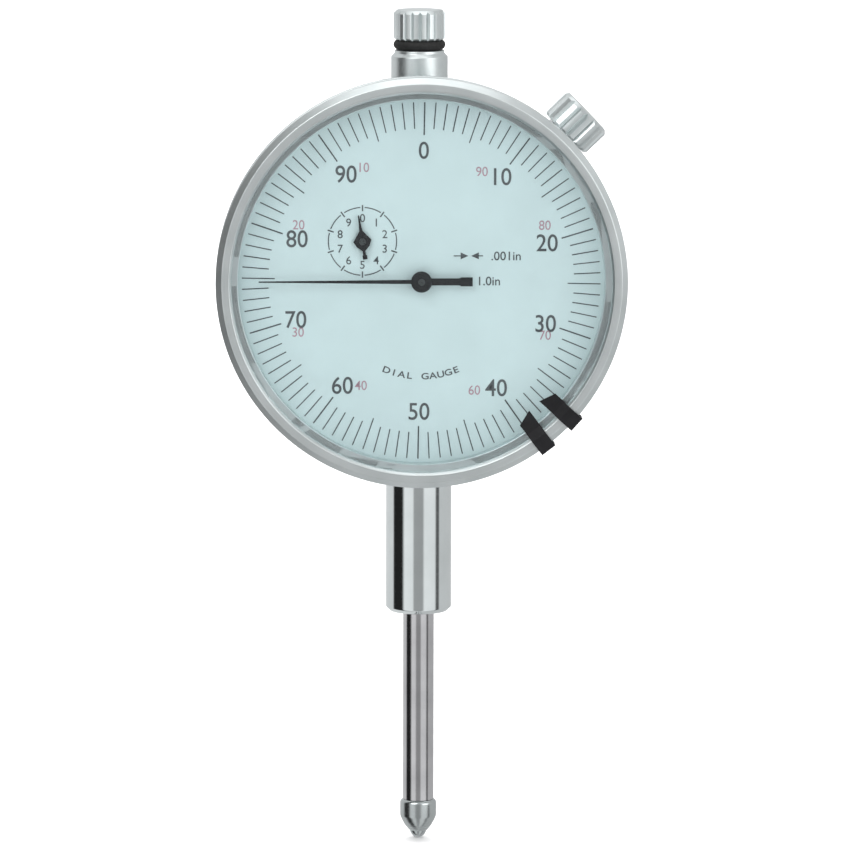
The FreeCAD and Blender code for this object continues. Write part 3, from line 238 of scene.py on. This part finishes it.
def clear_plastic(name):
    """A clear sheet that lets light straight through, with a soft reflection that grows at the edge."""
    material, nodes, links, shader = new_material(name)
    fine = noise(nodes, links, object_place(nodes, links), CLEAR_NOISE, 3.0)
    shader.inputs["Metallic"].default_value = 1.0
    vary_colour(nodes, links, shader, fine, (0.90, 0.94, 0.95), (0.96, 0.98, 0.99))
    vary_roughness(nodes, links, shader, fine, 0.03, 0.07)
    bump(nodes, links, shader, fine, 0.05, 0.00001)
    through = nodes.new("ShaderNodeBsdfTransparent")
    through.inputs["Color"].default_value = (0.965, 0.985, 0.99, 1)
    edge = nodes.new("ShaderNodeLayerWeight")
    edge.inputs["Blend"].default_value = 0.5
    steep = nodes.new("ShaderNodeMath")
    steep.operation = "POWER"
    steep.inputs[1].default_value = EDGE_POWER
    share = nodes.new("ShaderNodeMapRange")
    share.inputs["To Min"].default_value = GLOSS_FACING
    share.inputs["To Max"].default_value = GLOSS_AT_EDGE
    mix = nodes.new("ShaderNodeMixShader")
    links.new(edge.outputs["Facing"], steep.inputs[0])
    links.new(steep.outputs[0], share.inputs["Value"])
    links.new(share.outputs["Result"], mix.inputs["Fac"])
    links.new(through.outputs["BSDF"], mix.inputs[1])
    links.new(shader.outputs["BSDF"], mix.inputs[2])
    links.new(mix.outputs["Shader"], nodes["Material Output"].inputs["Surface"])
    return material


crystal_clear = clear_plastic("crystal_clear")

FINISH = {
    "case": case_metal, "mounting_lug": case_metal, "back_cover": cover_metal,
    "bezel": bezel_satin, "dial_retaining_ring": bezel_satin,
    "top_tube": cap_metal, "lifting_cap": cap_metal, "clamp_screw": cap_metal,
    "stem": chrome, "contact_point": point_steel,
    "spindle": ground_steel, "guide_pin": ground_steel, "contact_ball": point_steel,
    "lower_bush": brass, "upper_bush": brass, "arbor_bushes": brass, "drive_gear": brass,
    "take_up_gear": brass, "counter_gear": brass,
    "mid_plate": plate_brass, "front_plate": plate_brass, "rear_bridge": plate_brass,
    "hairspring": spring_steel, "return_spring": spring_steel, "bezel_wire": spring_steel,
    "centre_pinion_arbor": dark_steel, "counter_arbor": dark_steel,
    "dial_ring": dial_enamel, "centre_dial": dial_enamel,
    "main_hand": black_enamel, "counter_hand": black_enamel, "hand_hub": black_enamel,
    "tolerance_marker_a": black_enamel, "tolerance_marker_b": black_enamel,
    "crystal": crystal_clear, "buffer_ring": black_rubber, "cover_gasket": gasket_fibre,
}
for name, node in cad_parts.items():
    node.data.materials.clear()
    node.data.materials.append(FINISH.get(name, screw_steel))


# ---- turned parts, with the small rounded edges that the CAD leaves sharp ----
def new_piece(name, verts, faces, material, smooth=False):
    mesh = bpy.data.meshes.new(name)
    mesh.from_pydata(verts, [], faces)
    mesh.validate()
    mesh.materials.append(material)
    for face in mesh.polygons:
        face.use_smooth = smooth
    piece = bpy.data.objects.new(name, mesh)
    bpy.context.scene.collection.objects.link(piece)
    return piece


def weld(piece):
    """Joins points that meet, and turns every face outwards."""
    work = bmesh.new()
    work.from_mesh(piece.data)
    bmesh.ops.remove_doubles(work, verts=work.verts, dist=1e-7)
    bmesh.ops.recalc_face_normals(work, faces=work.faces)
    work.to_mesh(piece.data)
    work.free()


NEARLY_STRAIGHT = math.radians(82)
SHARE_OF_SIDE = 0.45
SHARP_EDGE = math.radians(32)


def eased(outline, radius, steps=4):
    """The closed outline with each corner rounded, apart from points on the axis or nearly in line."""
    count = len(outline)
    points = []
    for index in range(count):
        corner = Vector(outline[index])
        before = Vector(outline[index - 1]) - corner
        after = Vector(outline[(index + 1) % count]) - corner
        if corner.y == 0 or before.length == 0 or after.length == 0:
            points.append(tuple(corner))
            continue
        half = before.angle(after) / 2
        if half > NEARLY_STRAIGHT:
            points.append(tuple(corner))
            continue
        reach = min(radius / math.tan(half), before.length * SHARE_OF_SIDE, after.length * SHARE_OF_SIDE)
        one = corner + before.normalized() * reach
        two = corner + after.normalized() * reach
        for step in range(steps + 1):
            k = step / steps
            points.append(tuple(one * (1 - k) ** 2 + corner * 2 * k * (1 - k) + two * k ** 2))
    return points


def lathe(name, outline, centre, around, material, segments=256):
    """Turns a closed outline of (along, radius) points in mm about the Y or Z axis through centre."""
    verts = []
    for step in range(segments):
        angle = 2 * math.pi * step / segments
        for along, radius in outline:
            right, up = radius * math.sin(angle) * MM, radius * math.cos(angle) * MM
            spot = (right, along * MM, up) if around == "Y" else (right, up, along * MM)
            verts.append(tuple(Vector(spot) + centre))
    count = len(outline)
    faces = []
    for step in range(segments):
        near, far = step * count, (step + 1) % segments * count
        for i in range(count):
            j = (i + 1) % count
            if outline[i][1] == 0 and outline[j][1] == 0:
                continue
            faces.append([near + i, near + j, far + j, far + i])
    piece = new_piece(name, verts, faces, material, True)
    weld(piece)
    piece.data.set_sharp_from_angle(angle=SHARP_EDGE)
    even = piece.modifiers.new("even_normals", "WEIGHTED_NORMAL")
    even.keep_sharp = True
    return piece


def stand_for(piece, body, slot, *nodes):
    """The piece rides on the body and replaces the CAD nodes. The slot is not used."""
    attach(piece, body)
    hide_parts(*nodes)


# Turned outlines are in mm, as (along the axis, radius). INSET keeps them inside the CAD's box.
INSET = 0.005
BEZEL_LIP = 27.1
BEZEL_GROOVE = 28.75
BEZEL_SKIRT = 28.0
KNURL_FLOOR = 27.72
SHOE_GROOVE = 27.3
BEZEL_BORE = 26.5
SHELF_BORE = 26.15
CRYSTAL_SEAT = 27.4
BEZEL_EASE = 0.14
BEZEL_SEGMENTS = 360


def make_bezel():
    """The bezel from its lip, back along the outside, and forward again through its bore."""
    front = bezel_front
    edge = radius_of("bezel", X) / MM - INSET
    outline = [
        (front + 0.35, BEZEL_LIP), (front, BEZEL_LIP + 0.35), (front, edge - 0.85),
        (front + 0.85, edge), (front + 2.25, edge), (front + 2.25, BEZEL_GROOVE),
        (front + 3.25, BEZEL_GROOVE), (front + 3.25, edge), (front + 4.6, edge),
        (front + 5.0, edge - 0.4), (front + 5.0, BEZEL_SKIRT), (front + 5.4, BEZEL_SKIRT),
        (front + 5.4, KNURL_FLOOR), (front + 8.1, KNURL_FLOOR), (front + 8.1, BEZEL_SKIRT),
        (front + 8.6, BEZEL_SKIRT), (front + 8.6, SHOE_GROOVE), (front + 10.7, SHOE_GROOVE),
        (front + 10.7, BEZEL_BORE), (front + 4.4, BEZEL_BORE), (front + 4.4, SHELF_BORE),
        (front + 2.3, SHELF_BORE), (front + 2.3, CRYSTAL_SEAT), (front + 1.1, CRYSTAL_SEAT),
        (front + 1.1, BEZEL_LIP)]
    piece = lathe("bezel_turned", eased(outline, BEZEL_EASE), dial_axis, "Y", bezel_satin, BEZEL_SEGMENTS)
    stand_for(piece, "bezel", "bezel_satin", "bezel")


RIBS = 220
RIB_CORE = 27.60 * MM
RIB_VALLEY = 27.74 * MM
RIB_CREST = 27.98 * MM
RIB_SLOPE = 0.25 * MM
# Where each rib's valley and the two sides of its crest are, as shares of the way to the next rib.
RIB_SHARES = ((0.0, RIB_VALLEY), (0.36, RIB_CREST), (0.64, RIB_CREST))


def make_knurl():
    """Fine straight ribs in the recess round the bezel's skirt, as one closed ring."""
    low_y, high_y = (bezel_front + 5.45) * MM, (bezel_front + 8.05) * MM
    verts, faces = [], []
    for rib in range(RIBS):
        for share, top in RIB_SHARES:
            section = (
                (low_y, RIB_CORE), (low_y, RIB_VALLEY), (low_y + RIB_SLOPE, top),
                (high_y - RIB_SLOPE, top), (high_y, RIB_VALLEY), (high_y, RIB_CORE))
            for y, radius in section:
                x, z = on_dial(dial_centre, radius, 360 * (rib + share) / RIBS)
                verts.append((x, y, z))
    rows = len(section)
    columns = RIBS * len(RIB_SHARES)
    for column in range(columns):
        near, far = column * rows, (column + 1) % columns * rows
        for row in range(rows):
            after = (row + 1) % rows
            faces.append([near + row, near + after, far + after, far + row])
    ring = new_piece("bezel_knurl", verts, faces, bezel_satin)
    weld(ring)
    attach(ring, "bezel")


STEM_BORE = 3.2
STEM_OUTER = 4.7575
STEM_SHANK = 4.5


def make_stem():
    """The stem, narrower above its shoulder at the underside of the case."""
    low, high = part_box("stem")
    foot, top = low[Z] / MM, high[Z] / MM
    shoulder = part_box("case")[0][Z] / MM
    outline = [
        (foot, STEM_BORE), (foot, 4.16), (foot + 0.6, STEM_OUTER), (shoulder, STEM_OUTER),
        (shoulder, STEM_SHANK), (top, STEM_SHANK), (top, STEM_BORE)]
    piece = lathe("stem_turned", eased(outline, 0.22), stem_axis, "Z", chrome)
    stand_for(piece, "case", "chrome", "stem")


TUBE_BORE = 3.0
TUBE_OUTER = 4.095
TUBE_NECK = 3.6


def make_top_tube():
    low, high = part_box("top_tube")
    foot, top = low[Z] / MM, high[Z] / MM
    outline = [
        (foot, TUBE_BORE), (foot, TUBE_OUTER), (top - 0.9, TUBE_OUTER), (top - 0.4, TUBE_NECK),
        (top, TUBE_NECK), (top, TUBE_BORE)]
    piece = lathe("tube_turned", eased(outline, 0.15), stem_axis, "Z", cap_metal)
    stand_for(piece, "case", "bezel_satin", "top_tube")


POINT_OUTER = 2.645


def make_contact_point():
    """The barrel and cone of the contact point, down to the seat of its ball."""
    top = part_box("spindle")[0][Z] / MM
    ball = middle("contact_ball").z / MM
    outline = [
        (top - 0.02, 0), (top - 0.02, 2.3), (top - 0.4, POINT_OUTER), (ball + 2.1, POINT_OUTER),
        (ball + 1.4, 2.35), (ball + 0.65, 1.93), (ball - 0.1, 1.3), (ball - 0.1, 1.19), (ball - 0.1, 0)]
    piece = lathe("point_turned", eased(outline, 0.5), stem_axis, "Z", point_steel)
    stand_for(piece, "spindle", "chrome", "contact_point")


# ---- the dial's printing: ink with real thickness, sunk a little into the dial ----
ink_front = dial_front - 0.02 * MM
ink_back = dial_front + 0.01 * MM
CAPITAL = 0.70
LETTER_STEPS = 6
ARC_STEPS = 10


class Ink:
    """The closed patches of ink that make up one printed piece."""

    def __init__(self):
        self.verts = []
        self.faces = []

    def slab(self, outline):
        """A thin closed patch from an outline of x, z points."""
        first = len(self.verts)
        count = len(outline)
        self.verts += [(x, ink_front, z) for x, z in outline]
        self.verts += [(x, ink_back, z) for x, z in outline]
        self.faces.append([first + i for i in range(count)])
        self.faces.append([first + count + i for i in reversed(range(count))])
        for i in range(count):
            j = (i + 1) % count
            self.faces.append([first + i, first + count + i, first + count + j, first + j])

    def tick(self, centre, degrees, inner, outer, width):
        turn = math.radians(degrees)
        right, up = math.cos(turn) * width / 2, -math.sin(turn) * width / 2
        near = on_dial(centre, inner, degrees)
        far = on_dial(centre, outer, degrees)
        self.slab([
            (near[0] - right, near[1] - up), (far[0] - right, far[1] - up),
            (far[0] + right, far[1] + up), (near[0] + right, near[1] + up)])

    def arc(self, centre, radius, width, start, end):
        angles = [start + (end - start) * step / ARC_STEPS for step in range(ARC_STEPS + 1)]
        inside = [on_dial(centre, radius - width / 2, angle) for angle in angles]
        outside = [on_dial(centre, radius + width / 2, angle) for angle in angles]
        self.slab(outside + inside[::-1])

    def arrow(self, x, z, reach):
        """An arrow with its point at x, z, to the right where reach is positive."""
        back = x - math.copysign(ARROW_HEAD, reach)
        half = ARROW_HEAD * 0.45
        self.slab([(x, z), (back, z + half), (back, z - half)])
        self.slab([
            (back, z + ARROW_LINE), (x - reach, z + ARROW_LINE),
            (x - reach, z - ARROW_LINE), (back, z - ARROW_LINE)])

    def letters(self, words, x, z, height, boldness, wide=1.0, tilt=0.0):
        """A word centred on x, z, drawn 1 m tall and then made small.

        The hole of the figure 4 is filled, because a boldness of 0.005 or more folds it over.
        """
        curve = bpy.data.curves.new("word", "FONT")
        curve.body = words
        curve.align_x = "CENTER"
        curve.size = 1
        curve.offset = boldness
        curve.extrude = 0.01
        curve.resolution_u = LETTER_STEPS
        word = bpy.data.objects.new("word", curve)
        mesh = bpy.data.meshes.new_from_object(word)
        turn = Matrix.Rotation(math.radians(tilt), 4, "Z")
        first = len(self.verts)
        for vertex in mesh.vertices:
            across, up = vertex.co.x * height / CAPITAL, vertex.co.y * height / CAPITAL
            spot = turn @ Vector((across * wide, up - height / 2, 0))
            depth = ink_front if vertex.co.z > 0 else ink_back
            self.verts.append((x + spot.x, depth, z + spot.y))
        self.faces += [[first + i for i in face.vertices] for face in mesh.polygons]
        bpy.data.objects.remove(word)

    def piece(self, name, material, body):
        made = new_piece(name, self.verts, self.faces, material)
        weld(made)
        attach(made, body)
        return made


DIAL_TURN = 1.0
DIVISIONS = 100
DIVISION = 360 / DIVISIONS
TICK_OUTER = 25.6 * MM
MINOR_INNER = 21.8 * MM
MAJOR_INNER = 20.9 * MM
TICK_WIDTH = 0.16 * MM
BOLD = 1.25
NUMERAL_CIRCLE = 18.75 * MM
NUMERAL_HEIGHT = 2.43 * MM
SMALL_HEIGHT = 1.35 * MM
NARROW = 0.92
# The second count runs the other way. Each small figure stands beside or above its numeral,
# at mm right of the dial's centre and mm above it.
REVERSE = {
    "90": (8.6, 15.7), "80": (17.6, 8.0), "70": (17.7, -7.8), "60": (7.6, -15.7),
    "40": (-8.6, -15.0), "30": (-17.6, -7.3), "20": (-17.5, 8.1), "10": (-8.3, 16.3)}


def print_divisions():
    ink = Ink()
    for division in range(DIVISIONS):
        inner = MAJOR_INNER if division % 5 == 0 else MINOR_INNER
        width = TICK_WIDTH * (BOLD if division % 10 == 0 else 1.0)
        ink.tick(dial_centre, DIAL_TURN + division * DIVISION, inner, TICK_OUTER, width)
    ink.piece("dial_ticks", black_print, "bezel")


def print_numerals():
    ink = Ink()
    for number in range(0, DIVISIONS, 10):
        x, z = on_dial(dial_centre, NUMERAL_CIRCLE, DIAL_TURN + number * DIVISION)
        ink.letters(str(number), x, z, NUMERAL_HEIGHT, 0.007, NARROW)
    ink.piece("dial_numerals", black_print, "bezel")


def print_reverse_numerals():
    ink = Ink()
    for number, (right, up) in REVERSE.items():
        x, z = dial_centre.x + right * MM, dial_centre.z + up * MM
        ink.letters(number, x, z, SMALL_HEIGHT, 0.005, NARROW)
    ink.piece("reverse_numerals", red_print, "bezel")


SEAM_INNER = 16.58
SEAM_OUTER = 16.72


def make_seam():
    """A thin ring that hides the gap between the turning dial and the fixed one."""
    front = dial_front / MM + 0.012
    back = front + 0.05
    outline = [(front, SEAM_INNER), (front, SEAM_OUTER), (back, SEAM_OUTER), (back, SEAM_INNER)]
    seam = lathe("dial_seam", outline, dial_axis, "Y", dial_enamel)
    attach(seam, "bezel")


COUNTER_RING = 4.86 * MM
COUNTER_DIGITS = 3.35 * MM
COUNTER_HEIGHT = 1.15 * MM


def print_counter():
    """The revolution counter's ten digits, in a ring broken by ten short ticks."""
    ink = Ink()
    for digit in range(10):
        at = digit * 36
        ink.arc(counter_centre, COUNTER_RING, TICK_WIDTH, at + 3.5, at + 32.5)
        ink.tick(counter_centre, at, COUNTER_RING - 0.55 * MM, COUNTER_RING + 0.35 * MM, 0.20 * MM)
        x, z = on_dial(counter_centre, COUNTER_DIGITS, at)
        ink.letters(str(digit), x, z, COUNTER_HEIGHT, 0.006)
    ink.piece("counter_scale", black_print, "case")


ARROW_HEAD = 1.1 * MM
ARROW_LINE = 0.08 * MM
LEGEND_HEIGHT = 1.25 * MM
ARC_WORDS = "DIAL GAUGE"
WORDS_CIRCLE = 13.7 * MM
WORDS_HEIGHT = 0.9 * MM
WORDS_PITCH = 4.7


def print_legend():
    """The division's value beside two arrows, the travel, and two words along the lower arc."""
    ink = Ink()
    x = dial_centre.x + 6.9 * MM
    z = dial_centre.z + 3.6 * MM
    ink.arrow(x - 0.2 * MM, z, 2.1 * MM)
    ink.arrow(x + 0.2 * MM, z, -1.7 * MM)
    ink.letters(".001in", dial_centre.x + 12.1 * MM, z, LEGEND_HEIGHT, 0.008)
    ink.letters("1.0in", dial_centre.x + 9.6 * MM, dial_centre.z, LEGEND_HEIGHT, 0.008)
    for place, letter in enumerate(ARC_WORDS):
        along = (place - (len(ARC_WORDS) - 1) / 2) * WORDS_PITCH
        x, z = on_dial(dial_centre, WORDS_CIRCLE, 180 - along)
        ink.letters(letter, x, z, WORDS_HEIGHT, 0.018, 1.25, along)
    ink.piece("centre_legend", black_print, "case")


make_bezel()
print_divisions()
print_numerals()
make_knurl()
make_stem()
make_top_tube()
make_contact_point()
print_reverse_numerals()
make_seam()
print_counter()
print_legend()


# ---- floor, light and camera ----
def plain(name, colour, rough):
    return metal(name, colour, tuple(c * 1.02 for c in colour), (rough, rough + 0.05),
                 relief=(0.02, 0.00001), metallic=0.0)


FLOOR_REACH = 4.0


def make_floor():
    """A plain pale floor, hidden from reflections so that polished metal shows the studio instead."""
    lowest = size_before[0][Z]
    verts = [(x * FLOOR_REACH, y * FLOOR_REACH, lowest) for x, y in ((-1, -1), (1, -1), (1, 1), (-1, 1))]
    white = plain("floor_white", (0.93, 0.93, 0.93), 0.9)
    floor = new_piece("floor", verts, [[0, 1, 2, 3]], white)
    floor.visible_glossy = False


# The brightness of the studio's walls round the object: degrees from its front, and level.
BANDS = [
    (-180, 0.80), (-104, 0.78), (-97, 0.02), (-61, 0.02), (-52, 1.0), (-22, 0.95), (-17, 0.42),
    (13, 0.40), (19, 0.95), (58, 0.90), (64, 0.12), (73, 0.12), (78, 0.66), (150, 0.62), (180, 0.80)]


WORLD_STRENGTH = 0.95
BLUE_TINT = 1.01


def make_world():
    """A studio of pale walls with a few dark flags, so that round metal shows upright bands."""
    world = bpy.data.worlds.new("studio")
    bpy.context.scene.world = world
    world.use_nodes = True
    nodes = world.node_tree.nodes
    links = world.node_tree.links
    background = nodes["Background"]
    where = nodes.new("ShaderNodeTexCoord")
    split = nodes.new("ShaderNodeSeparateXYZ")
    turn = nodes.new("ShaderNodeMath")
    turn.operation = "ARCTAN2"
    back = nodes.new("ShaderNodeMath")
    back.operation = "MULTIPLY"
    back.inputs[1].default_value = -1
    span = nodes.new("ShaderNodeMapRange")
    span.inputs["From Min"].default_value = -math.pi
    span.inputs["From Max"].default_value = math.pi
    ramp = nodes.new("ShaderNodeValToRGB")
    stops = ramp.color_ramp.elements
    while len(stops) < len(BANDS):
        stops.new(0.5)
    for stop, (degrees, level) in zip(stops, BANDS):
        stop.position = (degrees + 180) / 360
        stop.color = (level, level, level * BLUE_TINT, 1)
    links.new(where.outputs["Generated"], split.inputs[0])
    links.new(split.outputs["Y"], back.inputs[0])
    links.new(split.outputs["X"], turn.inputs[0])
    links.new(back.outputs[0], turn.inputs[1])
    links.new(turn.outputs[0], span.inputs["Value"])
    links.new(span.outputs["Result"], ramp.inputs["Fac"])
    links.new(ramp.outputs["Color"], background.inputs["Color"])
    background.inputs["Strength"].default_value = WORLD_STRENGTH


def soft_light(name, at, aim, size, watts):
    lamp = bpy.data.lights.new(name, "AREA")
    lamp.shape = "SQUARE"
    lamp.size = size
    lamp.energy = watts
    light = bpy.data.objects.new(name, lamp)
    bpy.context.scene.collection.objects.link(light)
    light.location = at
    light.rotation_euler = (Vector(aim) - Vector(at)).to_track_quat("-Z", "Y").to_euler()
    return light


CAMERA_TURN = math.radians(-1.53)
CAMERA_LIFT = math.radians(8.06)
CAMERA_ROLL = math.radians(0.109)
CAMERA_AWAY = 0.949
CAMERA_AIM = Vector((0.90, 0, 26.57)) * MM
LENS = 277.1


def make_camera():
    """The photo's camera, as fitted to its perspective."""
    back = Vector((math.sin(CAMERA_TURN) * math.cos(CAMERA_LIFT),
                   -math.cos(CAMERA_TURN) * math.cos(CAMERA_LIFT), math.sin(CAMERA_LIFT)))
    lens = bpy.data.cameras.new("photo_camera")
    lens.lens = LENS
    lens.sensor_width = 36
    lens.clip_start = 0.05
    lens.clip_end = 20
    camera = bpy.data.objects.new("photo_camera", lens)
    bpy.context.scene.collection.objects.link(camera)
    roll = Matrix.Rotation(CAMERA_ROLL, 4, "Z")
    facing = (-back).to_track_quat("-Z", "Y").to_matrix().to_4x4()
    camera.matrix_world = Matrix.Translation(CAMERA_AIM + back * CAMERA_AWAY) @ facing @ roll
    bpy.context.scene.camera = camera


def make_lights():
    aim = tuple(dial_centre)
    soft_light("key", (-0.45, -0.75, 0.75), aim, 0.7, 4.5)
    soft_light("fill", (0.65, -0.55, 0.30), aim, 0.7, 2.2)
    soft_light("top", (0, 0.1, 0.9), aim, 0.8, 2)
    # The sweep whitens the ground behind the object, and is not seen in its metal.
    sweep = soft_light("sweep", (0, 1.9, 1.7), (0, 1.9, 0), 3.0, 90)
    sweep.visible_glossy = False


bpy.context.scene.view_settings.view_transform = "Standard"
make_floor()
make_world()
make_camera()
make_lights()
